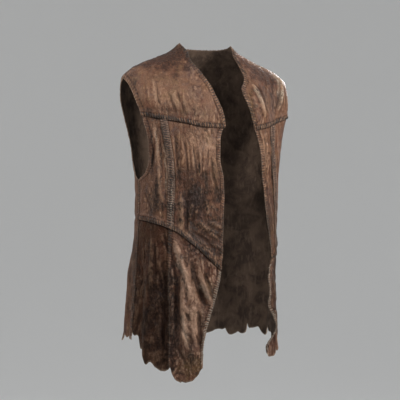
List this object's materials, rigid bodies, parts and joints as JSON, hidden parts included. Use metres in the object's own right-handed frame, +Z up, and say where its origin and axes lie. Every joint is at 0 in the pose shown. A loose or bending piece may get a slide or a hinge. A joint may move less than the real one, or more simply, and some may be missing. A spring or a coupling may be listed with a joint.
{
  "type": "leather vest",
  "caption": "Hollow worn hip-length leather vest, sleeveless and open in front, with sewn shoulder yokes, strapped long seams and a ragged hem.",
  "frame": {"origin": "midway between the shoulders, at the middle height of the shoulder seams, where the wearer's shoulders carry the vest", "axes": "-Y is the front, +X is the wearer's left, +Z is up along the body"},
  "size_m": [0.5116, 0.3331, 0.935],
  "materials": {
    "hide": "aged brown hide, dull satin, rubbed lighter on folds and edges",
    "hide_dark": "aged darker brown hide, dull satin",
    "strap": "dark brown hide, dull"
  },
  "bodies": {
    "root": {"front_yoke_right": "hide", "front_yoke_left": "hide", "centre_front_right": "hide", "centre_front_left": "hide", "side_front_right": "hide_dark", "side_front_left": "hide_dark", "centre_skirt_right": "hide", "centre_skirt_left": "hide", "side_skirt_right": "hide_dark", "side_skirt_left": "hide_dark", "seam_strap_right": "strap", "seam_strap_left": "strap", "back": "hide"}
  },
  "joints": []
}
